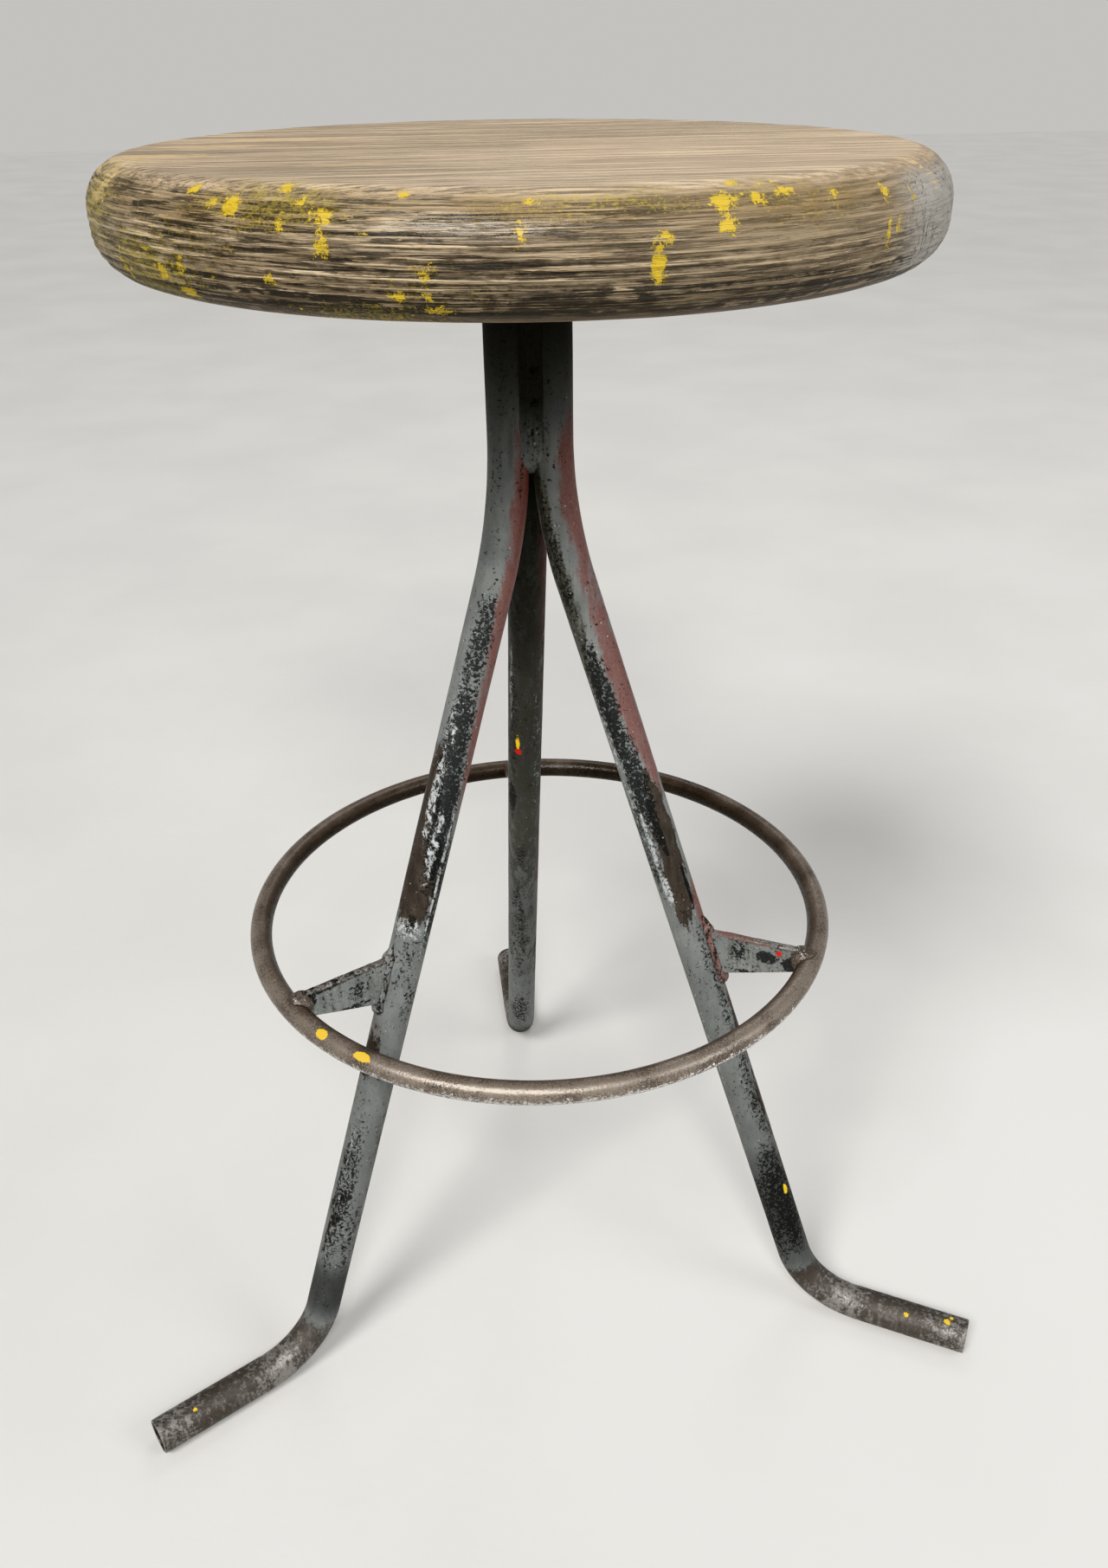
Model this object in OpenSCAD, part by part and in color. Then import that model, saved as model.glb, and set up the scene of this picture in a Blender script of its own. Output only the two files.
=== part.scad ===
// Workshop stool: turned wooden seat on three bent steel tubes, with a welded foot ring.
// The tubes stand in one tight bundle under the seat, fork apart, run down splayed and
// turn flat along the floor. Millimetres, +Z up, floor at z = 0.
// The rear leg points along +Y. The origin is the bottom centre of the bounding box.

/* [Seat] */
// Outside diameter of the wooden disc
seat_d = 350; // [300:5:420]
// Height of the seat's top face above the floor
seat_top_z = 640; // [450:5:800]
// Thickness of the wooden disc
seat_t = 40; // [36:1:60]
// Rounding of the upper rim
rim_top_r = 18; // [6:1:22]
// Rounding of the lower rim
rim_low_r = 16; // [4:1:18]

/* [Legs] */
// Outside diameter of the leg tube
tube_d = 20; // [16:1:28]
// Wall thickness of the leg tube
tube_wall = 1.5; // [1:0.25:3]
// Splay of each leg from the vertical, in degrees
splay = 19; // [10:0.5:25]
// Height at which the tubes begin to fork
fork_z = 524; // [380:2:560]
// Centreline radius of the upper bend
upper_bend_r = 220; // [60:5:300]
// Centreline radius of the lower bend
lower_bend_r = 45; // [30:1:80]
// Straight length of tube lying on the floor
foot_len = 66; // [30:1:120]

/* [Foot ring] */
// Centreline diameter of the foot ring
ring_d = 312; // [260:2:380]
// Diameter of the round bar
ring_bar_d = 12; // [8:1:16]
// Height of the ring's centreline above the floor
ring_z = 259; // [150:1:350]
// Thickness of the gusset plates
gusset_t = 4; // [3:0.5:8]

/* [Mounting plate] */
// Diameter of the steel plate under the seat
plate_d = 120; // [90:2:160]
// Thickness of the steel plate
plate_t = 5; // [3:0.5:8]
// Pitch circle diameter of the wood screws
screw_pcd = 92; // [70:2:130]
// Number of wood screws
screw_count = 6; // [3:1:8]

/* [View] */
// Sub-part to show

/* [Hidden] */

wood = [0.46, 0.38, 0.27];
paint = [0.36, 0.39, 0.40];
taupe = [0.38, 0.33, 0.30];
steel = [0.50, 0.47, 0.44];

rear_az = 90;
left_az = 210;
right_az = 330;

seat_r = seat_d / 2;
tube_r = tube_d / 2;
bore_r = tube_r - tube_wall;
bar_r = ring_bar_d / 2;
ring_r = ring_d / 2;

// Neighbouring tubes stand a hair apart, so each stays a solid of its own.
tube_gap = 0.09;
bundle_r = (tube_d + tube_gap) / sqrt(3);
weld_gap = 0.02;

// A bend's wall is a hair thinner than the straight runs that lap over its ends.
bend_thin = 0.05;
lap = 0.3;

// Heights of the plate and of the tube ends welded to it
seat_low_z = seat_top_z - seat_t;
tube_top_z = seat_low_z - plate_t;

// Corners of the leg's centreline in its own plane: x outward, z up
bend_x = bundle_r + upper_bend_r * (1 - cos(splay));
bend_z = fork_z - upper_bend_r * sin(splay);
knee_z = tube_r + lower_bend_r * (1 - sin(splay));
shin_len = (bend_z - knee_z) / cos(splay);
knee_x = bend_x + shin_len * sin(splay);
foot_x = knee_x + lower_bend_r * cos(splay);
foot_end_x = foot_x + foot_len;

// The seat axis sits forward of the bounding box's centre.
front_reach = max(seat_r, foot_end_x * sin(30) + tube_r * cos(30));
axis_y = -(foot_end_x - front_reach) / 2;

// Gusset plate: heights of its corners about the ring's centreline
gusset_top = 6.5;
gusset_low = 22;
gusset_nose_top = 8;
gusset_nose_low = 6;
gusset_nose_in = 5.4;

// Weld seams in the grooves of the bundle
groove_x = bundle_r * cos(60);
seam_low_z = 508;
seam_crown_r = 7;
seam_crown_x = groove_x + 8.1 - seam_crown_r;
seam_root_x = groove_x + 2.2;
nub_r = 2.2;
nub_x = groove_x + 7.4;

// Fillet of the weld round each tube end
plate_weld_leg = 4;
plate_weld_arc = 190;

// Beads of the gusset welds: each thins out along the leg past the plate's ends
leg_bead_r = 3.5;
leg_bead_end_r = 4;
leg_bead_tip_r = 0.8;
leg_run_up = 9;
leg_run_down = 5;
ring_bead_r = 3.8;
ring_cap_r = 7.2;
ring_cap_x = 1.5;
ring_cap_z = 1.5;

// Round-head wood screw
shank_r = 2.25;
pilot_r = 2.3;
plate_hole_r = 2.6;
shank_len = 24;
tip_len = 6;
pilot_len = 32;
head_r = 4.5;
head_h = 3;
slot_w = 1.2;
slot_h = 1.5;

curve_fn = 96;
ring_fn = 360;

module about_axis(az) {
    translate([0, axis_y, 0])
        rotate([0, 0, az])
            children();
}

module at_screws() {
    for (i = [0 : screw_count - 1])
        rotate([0, 0, (i + 0.5) * 360 / screw_count])
            translate([screw_pcd / 2, 0, 0])
                children();
}

// ---- seat ----

module seat_half_profile() {
    straight_low = rim_low_r;
    straight_top = seat_t - rim_top_r;
    square([seat_r - rim_top_r, seat_t]);
    square([seat_r - rim_low_r, straight_top]);
    translate([0, straight_low])
        square([seat_r, straight_top - straight_low]);
    translate([seat_r - rim_top_r, straight_top])
        circle(r = rim_top_r, $fn = curve_fn);
    translate([seat_r - rim_low_r, straight_low])
        circle(r = rim_low_r, $fn = curve_fn);
}

module seat() {
    color(wood)
    about_axis(0)
    difference() {
        translate([0, 0, seat_low_z])
            rotate_extrude($fn = curve_fn)
                seat_half_profile();
        at_screws()
            translate([0, 0, seat_low_z - 1])
                cylinder(r = pilot_r, h = pilot_len + 1 - plate_t, $fn = curve_fn);
    }
}

// ---- mounting plate and its screws ----

module mounting_plate() {
    color(paint)
    about_axis(0)
    difference() {
        translate([0, 0, tube_top_z])
            cylinder(d = plate_d, h = plate_t, $fn = curve_fn);
        at_screws()
            translate([0, 0, tube_top_z - 1])
                cylinder(r = plate_hole_r, h = plate_t + 2, $fn = curve_fn);
    }
}

module wood_screw() {
    dome_r = (head_r * head_r + head_h * head_h) / (2 * head_h);
    difference() {
        intersection() {
            translate([0, 0, dome_r - head_h])
                sphere(r = dome_r, $fn = curve_fn);
            translate([0, 0, -head_h])
                cylinder(r = head_r, h = head_h, $fn = curve_fn);
        }
        translate([-head_r - 1, -slot_w / 2, -head_h - 1])
            cube([2 * head_r + 2, slot_w, slot_h + 1]);
    }
    cylinder(r = shank_r, h = shank_len, $fn = curve_fn);
    translate([0, 0, shank_len])
        cylinder(r1 = shank_r, r2 = 0.4, h = tip_len, $fn = curve_fn);
}

module seat_screws() {
    color(steel)
    about_axis(0)
    at_screws()
        translate([0, 0, tube_top_z])
            wood_screw();
}

// ---- legs ----

module tube_section(thin) {
    difference() {
        circle(r = tube_r - thin, $fn = curve_fn);
        circle(r = bore_r + thin, $fn = curve_fn);
    }
}

// A straight run of tube along +Z that laps over the bends at its ends
module tube_straight(run_len, low_lap, top_lap) {
    translate([0, 0, -low_lap])
        linear_extrude(height = run_len + low_lap + top_lap)
            tube_section(0);
}

// A bend of the tube in the leg's plane, turning outward on its way down
module tube_bend(bend_r, start, angle) {
    rotate([90, 0, 0])
        rotate([0, 0, 180 + start])
            rotate_extrude(angle = angle, $fn = curve_fn)
                translate([bend_r, 0])
                    tube_section(bend_thin);
}

module leg(az) {
    color(paint)
    about_axis(az)
    union() {
        translate([bundle_r, 0, fork_z])
            tube_straight(tube_top_z - fork_z, lap, 0);
        translate([bundle_r + upper_bend_r, 0, fork_z])
            tube_bend(upper_bend_r, 0, splay);
        translate([knee_x, 0, knee_z])
            rotate([0, -splay, 0])
                tube_straight(shin_len, lap, lap);
        translate([foot_x, 0, tube_r + lower_bend_r])
            tube_bend(lower_bend_r, splay, 90 - splay);
        translate([foot_x, 0, tube_r])
            rotate([0, 90, 0])
                tube_straight(foot_len, lap, 0);
    }
}

module leg_rear() { leg(rear_az); }
module leg_front_left() { leg(left_az); }
module leg_front_right() { leg(right_az); }

// ---- foot ring and gussets ----

module ring_bar(r) {
    translate([0, 0, ring_z])
        rotate_extrude($fn = ring_fn)
            translate([ring_r, 0])
                circle(r = r, $fn = curve_fn);
}

module foot_ring() {
    color(taupe)
    about_axis(0)
        ring_bar(bar_r);
}

// Distance of the leg's centreline from the seat axis at height z
function shin_x(z) = bend_x + (bend_z - z) * tan(splay);

// The splayed run alone, thickened by a weld gap, for coping what is welded to it
module shin_cut() {
    translate([knee_x, 0, knee_z])
        rotate([0, -splay, 0])
            cylinder(r = tube_r + weld_gap, h = shin_len, $fn = curve_fn);
}

module gusset_blank(t) {
    top = ring_z + gusset_top;
    low = ring_z - gusset_low;
    nose_x = ring_r - gusset_nose_in;
    translate([0, t / 2, 0])
        rotate([90, 0, 0])
            linear_extrude(height = t)
                polygon([
                    [shin_x(top), top],
                    [shin_x(low), low],
                    [nose_x, ring_z - gusset_nose_low],
                    [nose_x, ring_z + gusset_nose_top]
                ]);
}

module gusset(az) {
    color(paint)
    about_axis(az)
    difference() {
        gusset_blank(gusset_t);
        shin_cut();
        ring_bar(bar_r + weld_gap);
    }
}

module gusset_rear() { gusset(rear_az); }
module gusset_front_left() { gusset(left_az); }
module gusset_front_right() { gusset(right_az); }

// ---- welds ----

// Long seam filling the groove between two neighbouring tubes
module seam(az) {
    color(paint)
    about_axis(az) {
        translate([0, 0, seam_low_z])
            linear_extrude(height = tube_top_z - seam_low_z)
                difference() {
                    translate([seam_crown_x, 0])
                        circle(r = seam_crown_r, $fn = curve_fn);
                    translate([seam_root_x - 2 * seam_crown_r, -seam_crown_r])
                        square(2 * seam_crown_r);
                    for (side = [-1, 1])
                        translate([groove_x, side * bundle_r * sin(60)])
                            circle(r = tube_r + weld_gap, $fn = curve_fn);
                }
        translate([nub_x, 0, seam_low_z])
            sphere(r = nub_r, $fn = curve_fn);
    }
}

module seam_front() { seam(270); }
module seam_left() { seam(150); }
module seam_right() { seam(30); }

// Fillet round the outer side of a tube end, against the mounting plate
module plate_weld(az) {
    color(paint)
    about_axis(az)
    translate([bundle_r, 0, tube_top_z - weld_gap])
        rotate([0, 0, -plate_weld_arc / 2])
            rotate_extrude(angle = plate_weld_arc, $fn = curve_fn)
                polygon([
                    [tube_r + weld_gap, 0],
                    [tube_r + plate_weld_leg, 0],
                    [tube_r + plate_weld_leg * 0.62, -plate_weld_leg * 0.62],
                    [tube_r + weld_gap, -plate_weld_leg]
                ]);
}

module plate_weld_rear() { plate_weld(rear_az); }
module plate_weld_left() { plate_weld(left_az); }
module plate_weld_right() { plate_weld(right_az); }

// Rounded end of a bead and the thin run of weld past it
module bead_run_out(run) {
    sphere(r = leg_bead_end_r, $fn = curve_fn);
    cylinder(r1 = leg_bead_end_r - 0.4, r2 = leg_bead_tip_r, h = run, $fn = curve_fn);
}

// Bead down both sides of a gusset and round its ends, where it meets the leg
module leg_weld(az) {
    top = ring_z + gusset_top;
    low = ring_z - gusset_low;
    skin = tube_r / cos(splay);
    bead_len = (top - low) / cos(splay);
    color(paint)
    about_axis(az)
    difference() {
        union() {
            translate([shin_x(low) + skin, 0, low])
                rotate([0, -splay, 0]) {
                    cylinder(r = leg_bead_r, h = bead_len, $fn = curve_fn);
                    translate([0, 0, bead_len])
                        bead_run_out(leg_run_up);
                    rotate([180, 0, 0])
                        bead_run_out(leg_run_down);
                }
        }
        shin_cut();
        gusset_blank(gusset_t + 2 * weld_gap);
    }
}

module leg_weld_rear() { leg_weld(rear_az); }
module leg_weld_left() { leg_weld(left_az); }
module leg_weld_right() { leg_weld(right_az); }

// Bead round the gusset's nose, with a flat cap over the inside and top of the ring
module ring_weld(az) {
    nose_x = ring_r - gusset_nose_in;
    low = ring_z - gusset_nose_low;
    top = ring_z + gusset_nose_top;
    color(taupe)
    about_axis(az)
    difference() {
        union() {
            translate([nose_x, 0, low])
                cylinder(r = ring_bead_r, h = top - low, $fn = curve_fn);
            translate([nose_x + ring_cap_x, 0, ring_z + ring_cap_z])
                sphere(r = ring_cap_r, $fn = curve_fn);
        }
        ring_bar(bar_r + weld_gap);
        gusset_blank(gusset_t + 2 * weld_gap);
    }
}

module ring_weld_rear() { ring_weld(rear_az); }
module ring_weld_left() { ring_weld(left_az); }
module ring_weld_right() { ring_weld(right_az); }

seat();
mounting_plate();
seat_screws();
leg_rear();
leg_front_left();
leg_front_right();
foot_ring();
gusset_rear();
gusset_front_left();
gusset_front_right();
seam_front();
seam_left();
seam_right();
plate_weld_rear();
plate_weld_left();
plate_weld_right();
leg_weld_rear();
leg_weld_left();
leg_weld_right();
ring_weld_rear();
ring_weld_left();
ring_weld_right();
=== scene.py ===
import math
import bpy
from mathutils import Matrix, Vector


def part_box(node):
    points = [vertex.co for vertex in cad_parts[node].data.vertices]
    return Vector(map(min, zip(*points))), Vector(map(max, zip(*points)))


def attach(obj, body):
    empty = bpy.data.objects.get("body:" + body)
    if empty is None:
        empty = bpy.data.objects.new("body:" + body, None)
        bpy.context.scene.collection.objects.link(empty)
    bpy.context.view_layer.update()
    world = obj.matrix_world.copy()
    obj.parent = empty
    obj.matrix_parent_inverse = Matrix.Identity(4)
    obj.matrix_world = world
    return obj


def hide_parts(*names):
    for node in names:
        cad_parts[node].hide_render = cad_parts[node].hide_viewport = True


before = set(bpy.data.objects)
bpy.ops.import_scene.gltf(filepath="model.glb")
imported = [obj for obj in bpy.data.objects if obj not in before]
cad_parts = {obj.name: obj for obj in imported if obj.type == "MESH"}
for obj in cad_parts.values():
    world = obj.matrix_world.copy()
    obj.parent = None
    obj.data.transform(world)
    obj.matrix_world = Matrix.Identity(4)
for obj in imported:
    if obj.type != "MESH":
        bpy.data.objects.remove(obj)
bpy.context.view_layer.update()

from types import SimpleNamespace

import bpy
import numpy as np
from mathutils import Matrix, Vector

# Lengths are in millimetres while a shape is worked out, and in metres once it is a mesh.
MM = 0.001


def node_box(name):
    low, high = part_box(name)
    return np.array(low) / MM, np.array(high) / MM


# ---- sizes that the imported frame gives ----

seat_lo, seat_hi = node_box("seat")
rear_lo, rear_hi = node_box("leg_rear")
ring_lo, ring_hi = node_box("foot_ring")

AXIS = (seat_lo[:2] + seat_hi[:2]) / 2
SEAT_R = (seat_hi[0] - seat_lo[0]) / 2
SEAT_LOW, SEAT_TOP = seat_lo[2], seat_hi[2]
TUBE_R = (rear_hi[0] - rear_lo[0]) / 2
TUBE_TOP = rear_hi[2]
BAR_R = (ring_hi[2] - ring_lo[2]) / 2
RING_Z = (ring_hi[2] + ring_lo[2]) / 2
RING_R = (ring_hi[0] - ring_lo[0]) / 2 - BAR_R

# ---- sizes that the frame doesn't give ----

RIM_TOP = 18.0  # radii of the seat's rounded rim
RIM_LOW = 16.0
TUBE_WALL = 1.5
SPLAY = math.radians(19)  # of the legs, from upright
FORK_Z = 524.0  # height where the bundle of tubes opens out
UPPER_BEND = 220.0  # bend radii of a leg
LOWER_BEND = 45.0
FOOT_LEN = 66.0  # straight end of a foot
TUBE_GAP = 0.09  # between two tubes of the bundle
BUNDLE_R = (2 * TUBE_R + TUBE_GAP) / math.sqrt(3)

LEG_AZ = {"rear": 90, "front_left": 210, "front_right": 330}
SEAM_AZ = {"front": 270, "left": 150, "right": 30}

# A distance that stands for "no mark anywhere near"
FAR = 50.0


# ---- smooth noise over points, the same on every run ----

def lattice(cell, seed):
    """A number from -1 to 1 for each cell, scrambled from its place."""
    h = cell[:, 0] * 374761393 + cell[:, 1] * 668265263 + cell[:, 2] * 1440662683
    h = (h + seed * 1274126177) & 0xFFFFFFFF
    h = ((h ^ (h >> 13)) * 1274126177) & 0xFFFFFFFF
    return ((h ^ (h >> 16)) & 0xFFFF) / 32767.5 - 1.0


def value_noise(points, size, seed):
    """Lattice numbers blended smoothly over cells of one size."""
    p = points / size
    base = np.floor(p).astype(np.int64)
    f = p - base
    f = f * f * (3 - 2 * f)
    total = np.zeros(len(points))
    for corner in range(8):
        step = np.array([corner & 1, corner >> 1 & 1, corner >> 2 & 1])
        weight = np.prod(np.where(step, f, 1 - f), axis=1)
        total += weight * lattice(base + step, seed)
    return total


def noise(points, size, seed, octaves=3):
    """Layers of value noise, each half the size and strength of the one before."""
    total = np.zeros(len(points))
    gain = 1.0
    for k in range(octaves):
        total += gain * value_noise(points, size / 2 ** k, seed + 17 * k)
        gain *= 0.5
    return total / 1.75


def ease(x, lo, hi):
    """A smooth step from 0 to 1 while x goes from lo to hi."""
    t = np.clip((x - lo) / (hi - lo), 0, 1)
    return t * t * (3 - 2 * t)


def turn(degrees):
    """The same angle, between -180 and 180."""
    return (degrees + 180) % 360 - 180


def patches(across, up, marks, power=1):
    """Strongest of some soft patches: place across and up, half width and height, strength."""
    total = 0.0
    for at, high, wide, tall, strength in marks:
        away = (across(at) / wide) ** 2 + ((up - high) / tall) ** 2
        total = np.maximum(total, strength * np.exp(-away ** power))
    return total


def nearest(across, up, marks):
    """Signed distance to the nearest of some ovals: place across and up, width, height."""
    best = FAR
    for at, high, wide, tall in marks:
        away = np.hypot(across(at) / (wide / 2), up(high) / (tall / 2)) - 1
        best = np.minimum(best, away * min(wide, tall) / 2)
    return best


# ---- meshes ----

def band_faces(rows, cols, wrap_rows=False):
    """Quads between neighbouring rows of a grid of points. Each row closes on itself."""
    r = np.arange(rows if wrap_rows else rows - 1)
    r, c = [g.ravel() for g in np.meshgrid(r, np.arange(cols), indexing="ij")]
    r2, c2 = (r + 1) % rows, (c + 1) % cols
    return np.stack([r * cols + c, r2 * cols + c, r2 * cols + c2, r * cols + c2], 1)


def set_fields(mesh, fields):
    """Store values at a mesh's points for the materials to read."""
    for key, values in fields.items():
        layer = mesh.attributes.new(key, "FLOAT", "POINT")
        layer.data.foreach_set("value", np.asarray(values, np.float32))


def add_mesh(name, points, faces, node, slot, fields, sharp=None):
    mesh = bpy.data.meshes.new(name)
    mesh.from_pydata((points * MM).tolist(), [], [tuple(f) for f in faces])
    mesh.validate()
    set_fields(mesh, fields)
    return add_piece(name, mesh, node, slot, sharp)


def add_piece(name, mesh, node, slot, sharp=None):
    """A visual piece for a CAD node. Edges over the sharp angle stay crisp."""
    mesh.shade_smooth()
    if sharp:
        mesh.set_sharp_from_angle(angle=math.radians(sharp))
    piece = bpy.data.objects.new(name, mesh)
    bpy.context.scene.collection.objects.link(piece)
    mesh.materials.clear()
    mesh.materials.append(MATERIALS[slot])
    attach(piece, "root")
    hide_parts(node)
    return piece


def mesh_values(mesh, key):
    values = np.zeros(len(mesh.vertices) * 3, np.float32)
    mesh.vertices.foreach_get(key, values)
    return values.reshape(-1, 3).astype(float)


def move_points(mesh, points):
    mesh.vertices.foreach_set("co", (points * MM).ravel())
    mesh.update()


def soften(points, mesh, rounds):
    """Even out a mesh's points by averaging each one with its neighbours."""
    ends = np.zeros(len(mesh.edges) * 2, np.int64)
    mesh.edges.foreach_get("vertices", ends)
    a, b = ends[0::2], ends[1::2]
    degree = np.bincount(ends, minlength=len(points))[:, None]
    for _ in range(rounds):
        total = np.zeros_like(points)
        np.add.at(total, a, points[b])
        np.add.at(total, b, points[a])
        points = 0.5 * points + 0.5 * total / np.maximum(degree, 1)
    return points


LUMP_SEED = 31


def cast(name, node, slot, voxel, rounds, lumps, fields_of):
    """A piece cast from its CAD node in a fine skin, with rounded edges and lumps (size, height)."""
    work = bpy.data.objects.new("work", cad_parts[node].data.copy())
    bpy.context.scene.collection.objects.link(work)
    skin = work.modifiers.new("skin", "REMESH")
    skin.mode = "VOXEL"
    skin.voxel_size = voxel * MM
    skin.adaptivity = 0.0
    graph = bpy.context.evaluated_depsgraph_get()
    mesh = bpy.data.meshes.new_from_object(work.evaluated_get(graph))
    bpy.data.objects.remove(work)
    points = soften(mesh_values(mesh, "co") / MM, mesh, rounds)
    move_points(mesh, points)
    normals = mesh_values(mesh, "normal")
    for k, (size, height) in enumerate(lumps):
        points += normals * (height * noise(points, size, LUMP_SEED + k))[:, None]
    move_points(mesh, points)
    set_fields(mesh, fields_of(points))
    return add_piece(name, mesh, node, slot)


# ---- shader building ----

class Wire:
    """A value that runs between shader nodes and takes plain arithmetic."""

    def __init__(self, shader, socket):
        self.shader = shader
        self.socket = socket

    def __add__(self, other):
        return self.shader.calc("ADD", self, other)

    def __sub__(self, other):
        return self.shader.calc("SUBTRACT", self, other)

    def __rsub__(self, other):
        return self.shader.calc("SUBTRACT", other, self)

    def __mul__(self, other):
        return self.shader.calc("MULTIPLY", self, other)


class Shader:
    """A material made of procedural nodes. Coordinates are in millimetres."""

    def __init__(self, name):
        self.material = bpy.data.materials.new(name)
        self.material.use_nodes = True
        self.tree = self.material.node_tree
        self.tree.nodes.clear()
        out = self.add("ShaderNodeOutputMaterial")
        self.body = self.add("ShaderNodeBsdfPrincipled")
        self.tree.links.new(self.body.outputs[0], out.inputs[0])
        place = self.add("ShaderNodeTexCoord")
        self.place = self.scaled(Wire(self, place.outputs["Object"]), 1 / MM)

    def add(self, kind):
        return self.tree.nodes.new(kind)

    def put(self, value, socket):
        """Link a wire to a socket, or set the socket to a constant."""
        if isinstance(value, Wire):
            self.tree.links.new(value.socket, socket)
        elif isinstance(value, tuple) and socket.type == "RGBA":
            socket.default_value = (*value, 1)
        else:
            socket.default_value = value

    def calc(self, op, a, b=0.0):
        n = self.add("ShaderNodeMath")
        n.operation = op
        self.put(a, n.inputs[0])
        self.put(b, n.inputs[1])
        return Wire(self, n.outputs[0])

    def larger(self, a, b):
        return self.calc("MAXIMUM", a, b)

    def span(self, x, lo, hi, out_lo=0.0, out_hi=1.0):
        """A smooth step from out_lo to out_hi while x goes from lo to hi."""
        n = self.add("ShaderNodeMapRange")
        n.interpolation_type = "SMOOTHSTEP"
        self.put(x, n.inputs["Value"])
        for key, value in (("From Min", lo), ("From Max", hi), ("To Min", out_lo), ("To Max", out_hi)):
            n.inputs[key].default_value = value
        return Wire(self, n.outputs["Result"])

    def field(self, name):
        """A value that the mesh carries at its points."""
        n = self.add("ShaderNodeAttribute")
        n.attribute_name = name
        return Wire(self, n.outputs["Fac"])

    def noise(self, scale, detail=3.0, rough=0.5, bend=0.0, move=(0, 0, 0)):
        """Cloudy noise from 0 to 1, with one scale or one for each axis."""
        where = self.place
        if isinstance(scale, tuple):
            stretch = self.add("ShaderNodeMapping")
            self.put(where, stretch.inputs["Vector"])
            stretch.inputs["Scale"].default_value = scale
            stretch.inputs["Location"].default_value = move
            where, scale = Wire(self, stretch.outputs[0]), 1.0
        n = self.add("ShaderNodeTexNoise")
        self.put(where, n.inputs["Vector"])
        for key, value in (("Scale", scale), ("Detail", detail), ("Roughness", rough), ("Distortion", bend)):
            n.inputs[key].default_value = value
        return self.span(Wire(self, n.outputs[0]), 0.28, 0.72)

    def flecks(self, scale, ragged, inner, outer, chance):
        """Small round flecks, each in its own cell, in a share of the cells."""
        n = self.add("ShaderNodeTexVoronoi")
        self.put(self.place, n.inputs["Vector"])
        n.inputs["Scale"].default_value = scale
        shape = self.span(Wire(self, n.outputs["Distance"]) + ragged, inner, outer, 1.0, 0.0)
        return shape * self.calc("LESS_THAN", Wire(self, n.outputs["Color"]), chance)

    def mix(self, amount, a, b):
        """Colour a, turned into colour b by an amount from 0 to 1."""
        n = self.add("ShaderNodeMix")
        n.data_type = "RGBA"
        n.clamp_factor = True
        self.put(amount, n.inputs[0])
        self.put(a, n.inputs[6])
        self.put(b, n.inputs[7])
        return Wire(self, n.outputs[2])

    def scaled(self, vector, factor):
        n = self.add("ShaderNodeVectorMath")
        n.operation = "SCALE"
        self.put(vector, n.inputs[0])
        self.put(factor, n.inputs["Scale"])
        return Wire(self, n.outputs[0])

    def dim(self, colour, amount):
        """A colour made darker by an amount from 0 to 1."""
        return self.scaled(colour, 1.0 - amount)

    def cover(self, grain, amount, edge):
        """Where grain, spread from 0 to 1, falls inside an amount of cover."""
        return self.span(grain + amount, 1.0 - edge, 1.0 + edge)

    def inside(self, name, ragged, soft):
        """Where a field of distances to a mark's outline, made ragged, is inside the mark."""
        return self.span(self.field(name) + ragged, -soft, soft, 1.0, 0.0)

    def finish(self, colour, rough, metal, height):
        """Close the material: the height of its relief is in millimetres."""
        self.put(colour, self.body.inputs["Base Color"])
        self.put(rough, self.body.inputs["Roughness"])
        self.put(metal, self.body.inputs["Metallic"])
        bump = self.add("ShaderNodeBump")
        bump.inputs["Strength"].default_value = 1.0
        bump.inputs["Distance"].default_value = MM
        self.put(height, bump.inputs["Height"])
        self.tree.links.new(bump.outputs[0], self.body.inputs["Normal"])
        return self.material


# ---- materials: colours that stand in pairs run from dark to light ----

YELLOW = (0.84, 0.56, 0.020)
RING_YELLOW = (0.86, 0.56, 0.02)
RED_DAB = (0.52, 0.012, 0.010)

WOOD = SimpleNamespace(
    top=((0.345, 0.253, 0.156), (0.665, 0.515, 0.345)),
    side=((0.190, 0.138, 0.080), (0.540, 0.415, 0.265)),
    end=((0.290, 0.272, 0.240), (0.465, 0.440, 0.398)),
    under=((0.075, 0.055, 0.036), (0.200, 0.150, 0.096)),
    worn=((0.50, 0.35, 0.17), (0.66, 0.49, 0.27)),
    top_board=(0.420, 0.318, 0.208), top_band=(0.270, 0.198, 0.122),
    crest=(0.740, 0.600, 0.420), blotch=(0.215, 0.165, 0.100),
    tan=(0.340, 0.215, 0.110), calm=(0.235, 0.178, 0.106),
    wax=(0.215, 0.178, 0.135), shoulder=(0.215, 0.143, 0.056),
    end_blotch=(0.250, 0.220, 0.190), grime_and_shade=(0.014, 0.011, 0.007),
    smear=(0.42, 0.33, 0.030), splash_dark=(0.55, 0.39, 0.03),
)


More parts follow.
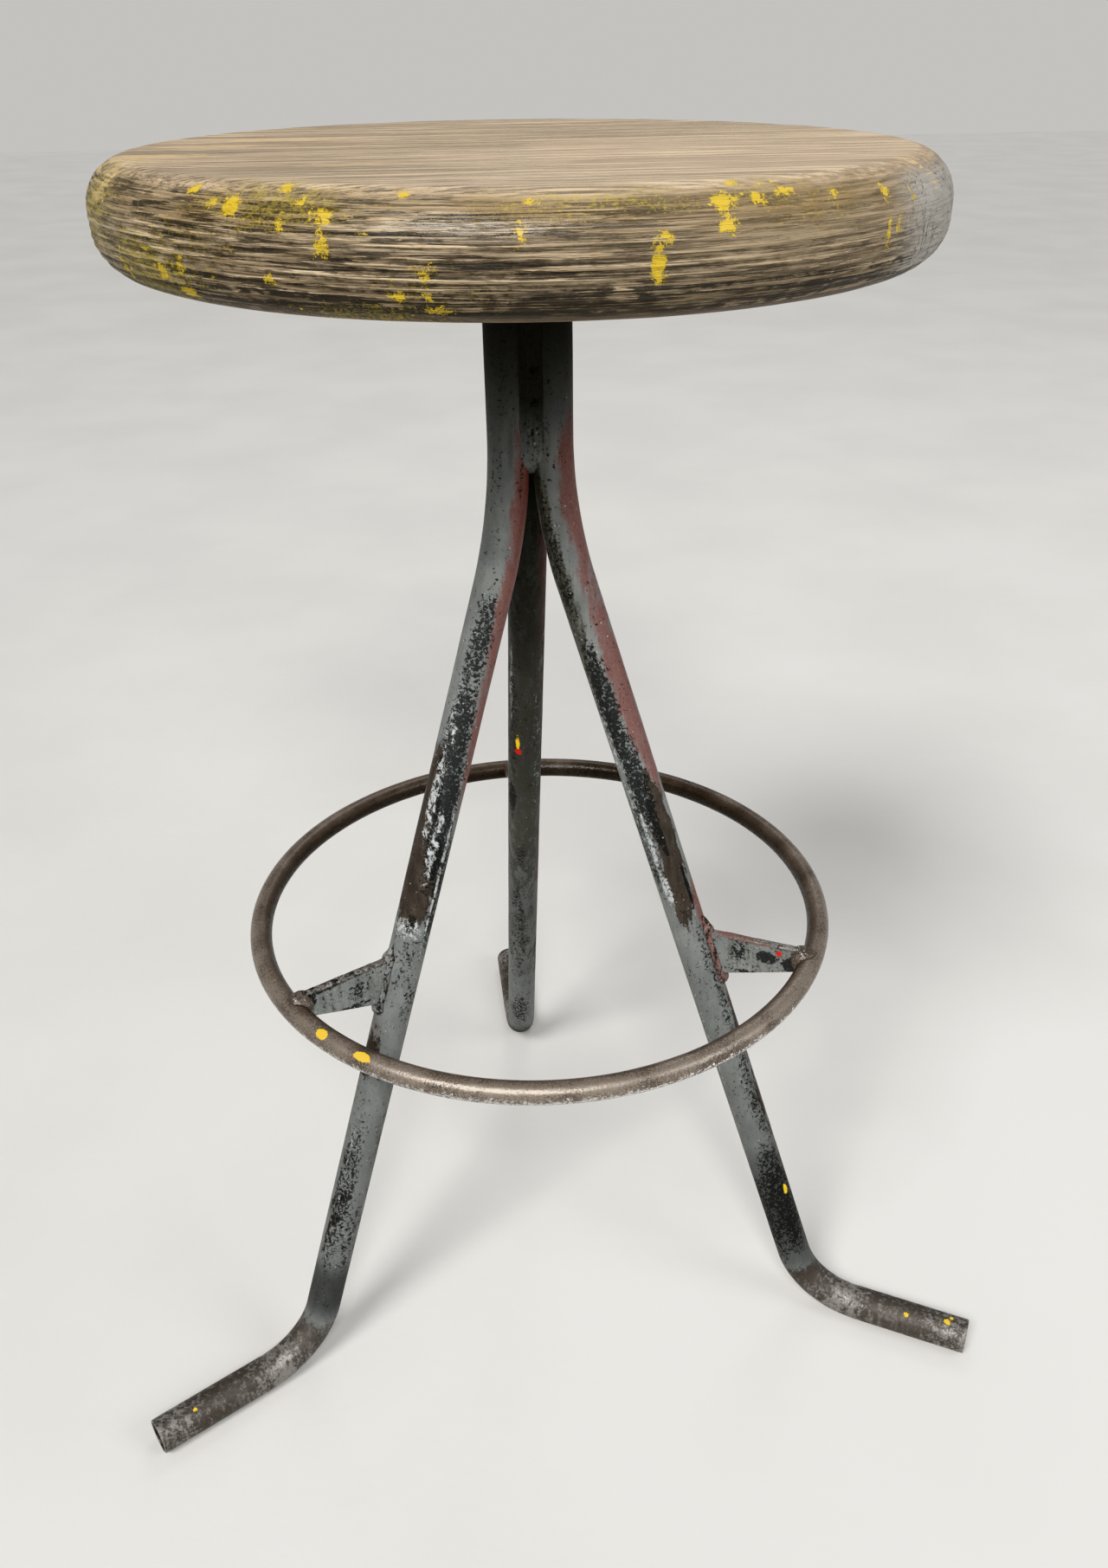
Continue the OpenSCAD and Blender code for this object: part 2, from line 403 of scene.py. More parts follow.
def wood_material():
    s = Shader("weathered_wood")
    c = WOOD
    rim, end, low, calm = s.field("rim"), s.field("end"), s.field("low"), s.field("calm")
    flat = 1.0 - rim

    # Grain: fibres and thin threads run along X, and show as layers round the rim
    rim_fibre = s.noise((0.014, 0.022, 1.3), 5, 0.62, 0.05)
    top_fibre = s.noise((0.0075, 0.26, 1.0), 6, 0.70, 0.10)
    fibre = rim_fibre * rim + top_fibre * flat
    rim_thread = s.noise((0.020, 0.045, 1.9), 5, 0.75, 0.0, (7, 3, 1))
    top_thread = s.noise((0.010, 0.60, 1.0), 5, 0.80, 0.1, (7, 3, 1))
    thread = rim_thread * rim + top_thread * flat
    board = s.noise((0.005, 0.06, 0.06), 3, 0.5, 0.3)
    blotch = s.noise(0.028, 4, 0.55, 0.5)
    mottle = s.noise((0.099, 0.22, 0.22), 4, 0.65, 0.4, (1.1, 1.98, 0.44))
    fine = s.noise(1.6, 4, 0.7)
    fibre_swing, mottle_swing, fine_swing = fibre - 0.5, mottle - 0.5, fine - 0.5

    # Layers of growth: soft wood worn into grooves, hard wood left as crests
    lined = s.field("lined")
    wave = s.calc("SINE", (s.field("rings") + fibre_swing * 0.20) * (2 * math.pi)) * 0.5 + 0.5
    groove = s.span(wave + (fibre_swing * 0.9 + mottle_swing * 0.45), 0.52, 0.80) * lined
    crest = s.span(wave, 0.05, 0.45, 1.0, 0.0) * lined
    line = s.span(thread, 0.52, 0.70) * (1.0 - calm * 0.45)
    slit = s.noise((0.022, 0.05, 0.85), 5, 0.7, 0.2, (31, 14, 8))
    slit = s.span(slit, 0.60, 0.70) * rim * (1.0 - calm * 0.5)

    # Colour of the bare wood on the top and round the side
    strong = s.span(fibre, 0.26, 0.74)
    top = s.mix(strong, *c.top)
    top = s.mix(board * 0.4, top, c.top_board)
    band = s.span(wave + fibre_swing * 0.6, 0.55, 1.0)
    top = s.mix(band * 0.38, top, c.top_band)
    side = s.mix(strong, *c.side)
    side = s.mix(crest * strong * 0.50, side, c.crest)
    side = s.mix(blotch * 0.45, side, c.blotch)
    side = s.mix(s.span(mottle, 0.55, 1.0) * 0.5, side, c.tan)
    side = s.mix(calm * 0.65, side, c.calm)
    colour = s.mix(rim, top, side)
    waxed = s.span(s.field("polish"), 0.45, 0.95, 0.0, 0.40)
    colour = s.mix(waxed, colour, c.wax)
    shoulder = s.field("shoulder") * s.span(blotch, 0.2, 0.9, 0.45, 1.0)
    colour = s.mix(shoulder * 0.85, colour, c.shoulder)
    grey_end = s.mix(fine, *c.end)
    grey_end = s.mix(mottle * 0.35, grey_end, c.end_blotch)
    colour = s.mix(end * 0.97, colour, grey_end)

    # Dark lines, cracks in the end grain, and near-black grime and painted shade low on the rim
    colour = s.dim(colour, groove * (mottle * 0.66 + 0.40))
    colour = s.dim(colour, line * (1.0 - end * 0.92) * 0.62)
    colour = s.dim(colour, slit * (1.0 - end * 0.8) * 0.82)
    crack = s.noise((0.16, 0.22, 0.05), 4, 0.6, 0.6, (3, 1, 9))
    crack = s.span(s.calc("ABSOLUTE", crack - 0.5), 0.010, 0.035, 1.0, 0.0)
    crack = crack * end * s.span(blotch, 0.30, 0.55)
    colour = s.dim(colour, crack * 0.9)
    # Near-black low on the rim: grime, with painted shade where the rim turns under
    grime_and_shade = s.span(low + fibre_swing * 1.7 + mottle_swing * 0.8, 0.42, 0.68)
    colour = s.mix(grime_and_shade * s.span(low, 0.02, 0.2) * 0.94, colour, c.grime_and_shade)
    bottom = s.dim(s.mix(fibre, *c.under), line * 0.4)
    colour = s.mix(s.field("under"), colour, bottom)

    # Worn streaks, smears and splashes of yellow paint
    worn = s.cover(fibre * 0.45 + thread * 0.25 + mottle * 0.30, s.field("worn"), 0.05)
    colour = s.mix(worn * 0.85, colour, s.mix(fine, *c.worn))
    smear = s.cover(s.noise(0.75, 6, 0.78) * 0.75 + mottle * 0.25, s.field("smear"), 0.10)
    smear = smear * (1.0 - groove * 0.85)
    colour = s.mix(smear * 0.55, colour, c.smear)
    drops = s.flecks(0.34, fine_swing * 0.25, 0.17, 0.25, s.field("smear") * 0.42)
    frayed = s.noise(0.30, 5, 0.7, 0.6) - 0.5
    frayed = fibre_swing * 1.2 + fine_swing * 2.2 + frayed * 3.2
    splash = s.larger(s.inside("splash", frayed, 0.3), drops)
    splash = splash * (0.97 - s.span(groove + fine * 0.5, 0.9, 1.3) * 0.8)
    colour = s.mix(splash, colour, s.mix(fibre * fine, c.splash_dark, YELLOW))

    gloss = s.span(s.noise((0.01575, 0.035, 0.035), 3, 0.5, 0.4, (2.1, 0.735, 0.175)), 0.3, 0.8)
    sheen = s.field("polish") * (gloss * 0.15 + 0.85)
    rough = fine * 0.12 + 0.52 - sheen * 0.43
    rough = s.larger(rough, groove * (1.0 - sheen) * 0.75)
    relief = (fibre * 0.12 + fine * 0.05 + splash * 0.10
              - groove * 0.30 - line * 0.10 - slit * 0.25 - crack * 0.5)
    s.body.inputs["Specular IOR Level"].default_value = 0.65
    return s.finish(colour, rough, 0.0, relief * (1.0 - sheen * 0.85))


PAINT = SimpleNamespace(
    grey=((0.142, 0.152, 0.149), (0.208, 0.219, 0.212)),
    primer=((0.120, 0.050, 0.044), (0.210, 0.100, 0.088)),
    rust=((0.033, 0.028, 0.025), (0.072, 0.060, 0.050)),
    chip=((0.006, 0.007, 0.008), (0.026, 0.028, 0.028)),
    scrape=((0.36, 0.38, 0.39), (0.70, 0.72, 0.72)),
    iron=((0.080, 0.071, 0.062), (0.150, 0.136, 0.122)),
    streak=(0.098, 0.102, 0.094), dust=(0.235, 0.232, 0.205),
    stain=(0.060, 0.058, 0.044), rust_speck=(0.100, 0.086, 0.073),
    glint=(0.58, 0.55, 0.49), iron_cloud=(0.092, 0.078, 0.068),
    iron_streak=(0.185, 0.172, 0.158), iron_polish_and_highlight=(0.40, 0.385, 0.36),
)


def paint_material():
    s = Shader("chipped_grey_paint")
    c = PAINT
    speck = s.noise(0.58, 7, 0.74, 0.5)
    pinch = s.noise(2.0, 4, 0.7)
    flake = s.noise((0.40, 0.40, 0.24), 8, 0.80, 0.9, (4.4, 2.0, 1.2))
    cloud = s.noise(0.045, 4, 0.55)
    smear = s.noise((0.30, 0.30, 0.04), 4, 0.6, 0.2, (2, 8, 4))
    skin = s.noise(0.9, 2, 0.5)

    # Grey paint, with red primer and dark stains
    grey = s.mix(cloud, *c.grey)
    grey = s.mix(smear * 0.30, grey, c.streak)
    dust = s.span(pinch, 0.55, 0.95) * s.span(cloud, 0.4, 0.9)
    grey = s.mix(dust * 0.30, grey, c.dust)
    red = s.cover(cloud * 0.30 + flake * 0.35 + smear * 0.35, s.field("red"), 0.30)
    colour = s.mix(red * 0.92, grey, s.mix(speck, *c.primer))
    stain = s.cover(smear * 0.5 + speck * 0.5, s.field("stain"), 0.25)
    colour = s.mix(stain * 0.80, colour, c.stain)

    # Rust, black chips, pale scrapes and glints
    rust = s.cover(smear * 0.55 + flake * 0.45, s.field("rust"), 0.05)
    umber = s.mix(smear, *c.rust)
    umber = s.mix(pinch * 0.25, umber, c.rust_speck)
    colour = s.mix(rust, colour, umber)
    black = s.cover(speck * 0.85 + smear * 0.15, s.field("chip"), 0.03)
    colour = s.mix(black, colour, s.mix(pinch, *c.chip))
    white = s.cover(flake, s.field("white"), 0.025)
    colour = s.mix(white, colour, s.mix(pinch, *c.scrape))
    glint = s.flecks(0.30, (pinch - 0.5) * 0.12, 0.07, 0.12, 0.30)
    colour = s.mix(glint * 0.8, colour, c.glint)

    # Bare iron on the feet and along edges
    iron = s.mix(speck, *c.iron)
    iron = s.mix(cloud * 0.45, iron, c.iron_cloud)
    iron = s.mix(s.span(smear, 0.5, 0.9) * 0.5, iron, c.iron_streak)
    # Brighter iron where the feet are rubbed, with painted highlights
    polish_and_highlight = s.cover(smear * 0.4 + speck * 0.6, s.field("bright_wear_and_highlight"), 0.22)
    iron = s.mix(polish_and_highlight * 0.75, iron, c.iron_polish_and_highlight)
    strip = s.cover(flake * 0.6 + cloud * 0.4, s.field("bare"), 0.10)
    colour = s.mix(strip, colour, iron)
    # Painted shade: the seat's shadow, the tube bores and the hidden plates and welds, with the legs darker
    # low down
    painted_shade = s.field("painted_shade")
    colour = s.dim(colour, painted_shade * 0.95)
    edge = (flake - 0.5) * 1.6 + (pinch - 0.5) * 0.5
    splash = s.inside("splash", edge, 0.15)
    colour = s.mix(splash, colour, YELLOW)
    colour = s.mix(s.inside("dab", edge, 0.15), colour, RED_DAB)

    metal = s.larger(s.larger(strip * 0.55, white * 0.45), rust * 0.40) * (1.0 - splash)
    rough = (cloud * 0.10 + 0.44 + skin * 0.06 + black * 0.10 + painted_shade * 0.2
             - strip * polish_and_highlight * 0.16)
    relief = (skin * 0.05 + speck * 0.05 + pinch * strip * 0.05 + splash * 0.14
              - black * 0.12 - white * 0.05 - rust * 0.10 - strip * 0.08)
    return s.finish(colour, rough, metal, relief)


TAUPE = SimpleNamespace(
    taupe=((0.070, 0.055, 0.044), (0.128, 0.100, 0.080)),
    rub_and_lit_front=((0.185, 0.152, 0.124), (0.400, 0.350, 0.298)),
    steel=((0.46, 0.44, 0.42), (0.78, 0.76, 0.73)),
    speck=(0.060, 0.046, 0.036), chip=(0.022, 0.018, 0.015),
)


def ring_material():
    s = Shader("worn_taupe_paint")
    c = TAUPE
    jag = s.noise(0.50, 7, 0.78, 0.7)
    speck = s.noise(1.1, 5, 0.72, 0.3)
    pinch = s.noise(2.6, 4, 0.7)
    cloud = s.noise(0.05, 4, 0.55)
    skin = s.noise(0.8, 2, 0.5)
    taupe = s.mix(cloud, *c.taupe)
    taupe = s.mix(speck * 0.25, taupe, c.speck)
    # Rubbed paint, made lighter on the front as painted light
    rub_and_lit_front = s.cover(speck * 0.7 + cloud * 0.3, s.field("rub_and_lit_front"), 0.16)
    colour = s.mix(rub_and_lit_front * 0.85, taupe, s.mix(pinch, *c.rub_and_lit_front))
    # Bare steel flecks, more of them on the front as painted highlight
    steel = s.cover(jag, s.field("bright_wear_and_highlight"), 0.035)
    colour = s.mix(steel, colour, s.mix(pinch, *c.steel))
    chip = s.cover(jag * 0.5 + speck * 0.5, s.field("chip"), 0.05)
    colour = s.mix(chip, colour, c.chip)
    # Painted shade and grime on the inner side and underside of the bar
    colour = s.dim(colour, s.field("grime_and_shade") * (1.0 - steel * 0.6))
    edge = (jag - 0.5) * 0.9 + (pinch - 0.5) * 0.3
    splash = s.inside("splash", edge, 0.12)
    colour = s.mix(splash, colour, RING_YELLOW)
    open_metal = s.larger(steel * 0.85, rub_and_lit_front * 0.55)
    metal = s.larger(open_metal, 0.12) * (1.0 - splash)
    rough = cloud * 0.10 + 0.24 + skin * 0.05 + chip * 0.2 - steel * 0.08
    relief = (skin * 0.05 + speck * 0.03 + splash * 0.12
              - steel * 0.10 - chip * 0.10 - rub_and_lit_front * 0.03)
    return s.finish(colour, rough, metal, relief)


STEEL_DARK, STEEL_LIGHT = (0.20, 0.18, 0.16), (0.42, 0.40, 0.37)
SCREW_RUST = (0.105, 0.052, 0.028)


def screw_material():
    s = Shader("dull_screw_steel")
    speck = s.noise(1.2, 5, 0.7)
    rusty = s.cover(s.noise(0.25, 4, 0.6), 0.42, 0.15)
    colour = s.mix(rusty * 0.8, s.mix(speck, STEEL_DARK, STEEL_LIGHT), SCREW_RUST)
    rough = speck * 0.14 + 0.34 + rusty * 0.25
    return s.finish(colour, rough, 0.95 - rusty * 0.6, speck * 0.05 + rusty * 0.04)


FLOOR_DARK, FLOOR_LIGHT = (0.60, 0.59, 0.57), (0.64, 0.63, 0.61)


def floor_material():
    s = Shader("pale_floor")
    fine = s.noise(0.12, 3, 0.5)
    colour = s.mix(s.noise(0.004, 4, 0.5), FLOOR_DARK, FLOOR_LIGHT)
    return s.finish(colour, fine * 0.08 + 0.62, 0.0, fine * 0.05)


MATERIALS = {
    "seat_wood": wood_material(),
    "grey_paint": paint_material(),
    "taupe_paint": ring_material(),
    "screw_steel": screw_material(),
}


# ---- seat ----

# Layers of growth, seen as ridges round the rim: spacing, tilt and bow across the seat
LAYER = 3.25
LAYER_TILT = math.radians(4)
LAYER_BOW = 0.0004
# Squeezes places so that noise comes out long in the direction of the grain
ALONG_GRAIN = np.array([0.12, 0.22, 1])
# Greatest depths of wear
RIDGE_DEPTH = 0.62
CHIP_DEPTH = 1.0
DENT_DEPTH = 0.5
FIBRE_DEPTH = 0.12
PIT_DEPTH = 0.35
# Rows of points down the seat, points in each row, and radius of the first and last row
TOP_ROWS, UPPER_ROUND_ROWS, FLANK_ROWS, LOWER_ROUND_ROWS, UNDER_ROWS = 56, 30, 8, 28, 34
SEAT_COLS = 640
POLE_R = 1.5

# Yellow splashes on the rim: azimuth, height over the floor, width, height of the mark
SPLASHES = (
    (224, 637, 5, 4), (228, 634, 4, 4), (231, 634, 8, 8), (237, 639, 6, 5),
    (238, 630, 2, 4), (240, 635, 6, 4), (243, 632, 7, 5), (243, 625, 4, 7),
    (251, 638, 4, 3), (248, 628, 2, 1.6), (209, 609, 3, 9), (216, 618, 3, 3.4),
    (219, 611, 5, 5), (222, 605, 8, 6), (223, 614, 2.6, 5), (236, 613, 2.6, 3),
    (254, 617, 3, 4), (251, 610, 4, 2.6), (254, 610, 2, 2.6), (255, 605, 6, 2.8),
    (264, 628, 1.4, 4), (265, 637, 4, 1.8), (286, 635, 8, 6), (286, 628, 6, 6),
    (288, 639, 4, 3), (290, 635, 6, 4), (294, 636, 5, 3), (279, 626, 3, 3),
    (278, 618, 4, 10), (301, 634, 2.4, 3), (310, 633, 4, 5), (316, 631, 3, 4),
    (310, 620, 2, 5), (312, 622, 2, 5), (31, 622, 6, 5), (118, 630, 7, 5),
)
# Thin yellow-green smears on the rim: azimuth, height, width, height, density
SMEARS = (
    (198, 625, 40, 22, 0.62), (215, 612, 45, 18, 0.60), (236, 634, 40, 11, 0.50),
    (225, 622, 40, 12, 0.36), (254, 612, 30, 12, 0.34), (272, 636, 50, 6, 0.40),
    (292, 636, 40, 8, 0.36), (246, 602, 40, 8, 0.44), (300, 630, 30, 8, 0.30),
    (190, 606, 25, 14, 0.40), (60, 628, 30, 10, 0.30), (135, 618, 30, 14, 0.34),
)
# Pale worn streaks on the top: x and y from the seat's axis, length, width, strength
WORN = (
    (-104, 46, 40, 8, 0.84), (-70, 38, 30, 6, 0.68), (-148, -28, 30, 12, 0.80),
    (-70, -74, 34, 8, 0.60), (-122, 16, 40, 9, 0.68), (-24, 78, 16, 5, 0.66),
    (124, 16, 30, 7, 0.50), (132, -98, 16, 6, 0.54), (-158, -60, 18, 12, 0.56),
    (40, 110, 44, 6, 0.44), (86, -40, 34, 5, 0.36),
)
# Places on the rim rubbed smooth: azimuth, height up the seat, half sizes, strength
POLISHED = (
    (262, 31, 17, 8.0, 1.0), (222, 33, 8, 5.5, 0.95), (240, 29, 8, 4.5, 0.6),
    (284, 31, 10, 5.0, 0.7), (320, 31, 14, 5.5, 0.6), (30, 30, 20, 6.0, 0.7),
    (120, 31, 16, 6.0, 0.8), (170, 30, 14, 5.0, 0.6),
)


def seat_profile():
    """Radius, height and outward direction down one side of the seat."""
    rows = []
    flat_top = SEAT_R - RIM_TOP
    flat_low = SEAT_R - RIM_LOW
    for r in np.linspace(POLE_R, flat_top, TOP_ROWS)[:-1]:
        rows.append((r, SEAT_TOP, 0, 1))
    for a in np.linspace(0, math.pi / 2, UPPER_ROUND_ROWS):
        r = flat_top + RIM_TOP * math.sin(a)
        rows.append((r, SEAT_TOP - RIM_TOP * (1 - math.cos(a)), math.sin(a), math.cos(a)))
    for z in np.linspace(SEAT_TOP - RIM_TOP, SEAT_LOW + RIM_LOW, FLANK_ROWS)[1:-1]:
        rows.append((SEAT_R, z, 1, 0))
    for a in np.linspace(0, math.pi / 2, LOWER_ROUND_ROWS):
        r = flat_low + RIM_LOW * math.cos(a)
        rows.append((r, SEAT_LOW + RIM_LOW * (1 - math.sin(a)), math.cos(a), -math.sin(a)))
    for r in np.linspace(flat_low, POLE_R, UNDER_ROWS)[1:]:
        rows.append((r, SEAT_LOW, 0, -1))
    return np.array(rows)


def seat_grid():
    """The plain turned seat about its own axis: a grid of points, and where each one lies."""
    g = SimpleNamespace(profile=seat_profile())
    g.a = np.tile(np.linspace(0, 2 * math.pi, SEAT_COLS, endpoint=False), len(g.profile))
    g.azimuth = np.degrees(g.a)
    g.r, z, g.lean, rise = [np.repeat(g.profile[:, k], SEAT_COLS) for k in range(4)]
    g.points = np.stack([g.r * np.cos(g.a), g.r * np.sin(g.a), z], 1)
    g.normal = np.stack([g.lean * np.cos(g.a), g.lean * np.sin(g.a), rise], 1)
    g.up = z - SEAT_LOW
    g.along = g.points * ALONG_GRAIN
    return g


def find_zones(g):
    """The places that wear in their own way, each from 0 to 1."""
    g.end = ease(np.cos(g.a), 0.63, 0.77) + 0.18 * ease(-np.cos(g.a), 0.76, 0.95)
    g.end *= ease(g.lean, 0.3, 0.85)
    from_front = turn(g.azimuth - 270)
    g.calm = ease(from_front, -14, 22) * (1 - ease(from_front, 95, 130))
    g.upper = ease(g.up, 14, 27)
    side = 1 - np.abs(g.normal[:, 2])
    band = 0.30 * np.exp(-((g.up - 28) / 9) ** 2) * ease(side, 0.1, 0.6)
    rubbed = patches(lambda at: turn(g.azimuth - at), g.up, POLISHED, 1.5)
    g.polish = np.maximum(band, rubbed) * (0.85 + 0.15 * noise(g.along, 5, 19))


def find_layers(g):
    """Which growth layer each point is in, and how strongly the layers show there."""
    y = g.points[:, 1]
    drift = 2.4 * noise(g.along, 24, 3) + 0.4 * noise(g.along, 8, 8)
    level = g.up * math.cos(LAYER_TILT) + y * math.sin(LAYER_TILT) + LAYER_BOW * y ** 2
    g.layer = (level + drift) / LAYER
    ridge = (0.10 + 0.90 * ease(g.lean, 0.35, 0.85)) * (1 - 0.75 * g.end)
    ridge *= 0.70 + 0.30 * noise(g.along, 30, 12)
    lined = ridge * (0.60 + 0.40 * ease(34 - g.up, 0, 10))
    ridge *= 0.22 + 0.78 * ease(35 - g.up, 0, 14)
    smooth_patch = 0.35 * ease(noise(g.points, 60, 71), 0.1, 0.6) * ease(g.up, 22, 34)
    ridge = np.clip(ridge - smooth_patch, 0, 1)
    g.ridge = ridge * (1 - 0.9 * g.polish) * (1 - g.calm * (0.25 + 0.5 * g.upper))
    lined *= (1 - 0.75 * g.polish) * (1 - g.calm * (0.35 + 0.55 * g.upper))
    g.lined = lined * (1 - 0.8 * g.end)


def worn_depth(g):
    """How much wear has taken off the turned seat, in mm."""
    wave = 0.5 + 0.5 * np.sin(2 * math.pi * g.layer)
    depth = RIDGE_DEPTH * g.ridge * wave * (0.5 + 0.5 * ease(30 - g.up, 0, 20))
    chips = ease(noise(g.along, 7, 44), 0.25, 0.7) * ease(13 - g.up, 0, 9)
    depth += CHIP_DEPTH * chips * ease(g.lean, 0.2, 0.6)
    dents = ease(noise(g.points * np.array([0.2, 1, 1]), 22, 91), 0.1, 0.8)
    depth += DENT_DEPTH * dents * (0.25 + 0.75 * ease(g.lean, 0.25, 0.8))
    under_face = (g.lean == 0) & (g.normal[:, 2] < 0)
    depth += FIBRE_DEPTH * (1 + noise(g.along, 3.2, 23)) * (1 - under_face)
    depth += PIT_DEPTH * g.end * ease(noise(g.points, 5, 66), 0.0, 0.7)
    return np.maximum(depth, 0)


def seat_fields(g, skin):
    """Values that the wood material reads at each point."""
    step = np.hypot(np.diff(g.profile[:, 0]), np.diff(g.profile[:, 1]))
    way = np.concatenate([[0], np.cumsum(step)])
    on_rim = g.profile[:, 0] > SEAT_R - RIM_LOW
    rim_z, rim_way = g.profile[on_rim, 1][::-1], way[on_rim][::-1]
    way = np.repeat(way, SEAT_COLS)

    def round_rim(at):
        return np.radians(turn(g.azimuth - at)) * SEAT_R

    splash = nearest(round_rim, lambda z: way - np.interp(z, rim_z, rim_way), SPLASHES)
    worn = patches(lambda x0: skin[:, 0] - x0, skin[:, 1], WORN)
    smear = patches(round_rim, skin[:, 2], SMEARS)
    return {
        "rings": g.layer,
        "lined": np.clip(1.2 * g.lined, 0, 1),
        "calm": g.calm * (0.55 + 0.45 * g.upper),
        "rim": ease(g.lean, 0.25, 0.8),
        "end": g.end,
        "low": ease(16 - g.up, 0, 15) * ease(g.lean, 0.02, 0.3) * (1 - 0.6 * g.end),
        "under": ease(-g.normal[:, 2], 0.75, 0.98),
        "shoulder": np.exp(-((g.up - 33) / 6) ** 2) * ease(g.lean, 0.1, 0.5),
        "polish": np.clip(g.polish + 0.2 * (g.lean < 0.3), 0, 1),
        "worn": worn * ease(g.normal[:, 2], 0.1, 0.5),
        "smear": smear * (g.r > SEAT_R - 26),
        "splash": np.where(g.r > SEAT_R - 24, splash, FAR),
    }


def build_seat():
    g = seat_grid()
    find_zones(g)
    find_layers(g)
    skin = g.points - g.normal * worn_depth(g)[:, None]
    fields = {key: np.concatenate([values, [values[0], values[-1]]])
              for key, values in seat_fields(g, skin).items()}
    top_pole, low_pole = len(skin), len(skin) + 1
    faces = [tuple(q) for q in band_faces(len(g.profile), SEAT_COLS)]
    last = len(skin) - SEAT_COLS
    for c in range(SEAT_COLS):
        c2 = (c + 1) % SEAT_COLS
        faces.append((top_pole, c, c2))
        faces.append((low_pole, last + c2, last + c))
    points = np.vstack([skin, [0, 0, SEAT_TOP], [0, 0, SEAT_LOW]])
    points[:, :2] += AXIS
    return add_mesh("wooden_seat", points, faces, "seat", "seat_wood", fields)


# ---- legs ----

# Points round a tube, steps down its outside and its bore, and the cut edge's chamfer
LEG_SIDES = 80
OUTER_STEP, INNER_STEP = 2.0, 7.0
LIP_CHAMFER = 0.35
# The knee comes out oval: angle from upright of its middle, half range, flattening
KNEE_OVAL = (0.95, 0.45, 0.55)


def leg_line(step):
    """Centreline of a leg in its own plane: distance out, height, and angle from upright."""
    heel = math.pi / 2 - SPLAY
    bend_z = FORK_Z - UPPER_BEND * math.sin(SPLAY)
    knee_z = TUBE_R + LOWER_BEND * (1 - math.sin(SPLAY))
    shin = (bend_z - knee_z) / math.cos(SPLAY)
    runs = ((TUBE_TOP - FORK_Z, 0), (UPPER_BEND * SPLAY, SPLAY), (shin, 0),
            (LOWER_BEND * heel, heel), (FOOT_LEN, 0))
    rows = [(BUNDLE_R, TUBE_TOP, 0.0)]
    for length, bend in runs:
        x, z, tilt = rows[-1]
        c, s = math.cos(tilt), math.sin(tilt)
        for t in np.linspace(0, 1, max(2, round(length / step)) + 1)[1:]:
            if bend:
                radius, now = length / bend, tilt + bend * t
                rows.append((x + radius * (c - math.cos(now)), z - radius * (math.sin(now) - s), now))
            else:
                rows.append((x + length * t * s, z - length * t * c, tilt))
    return np.array(rows)
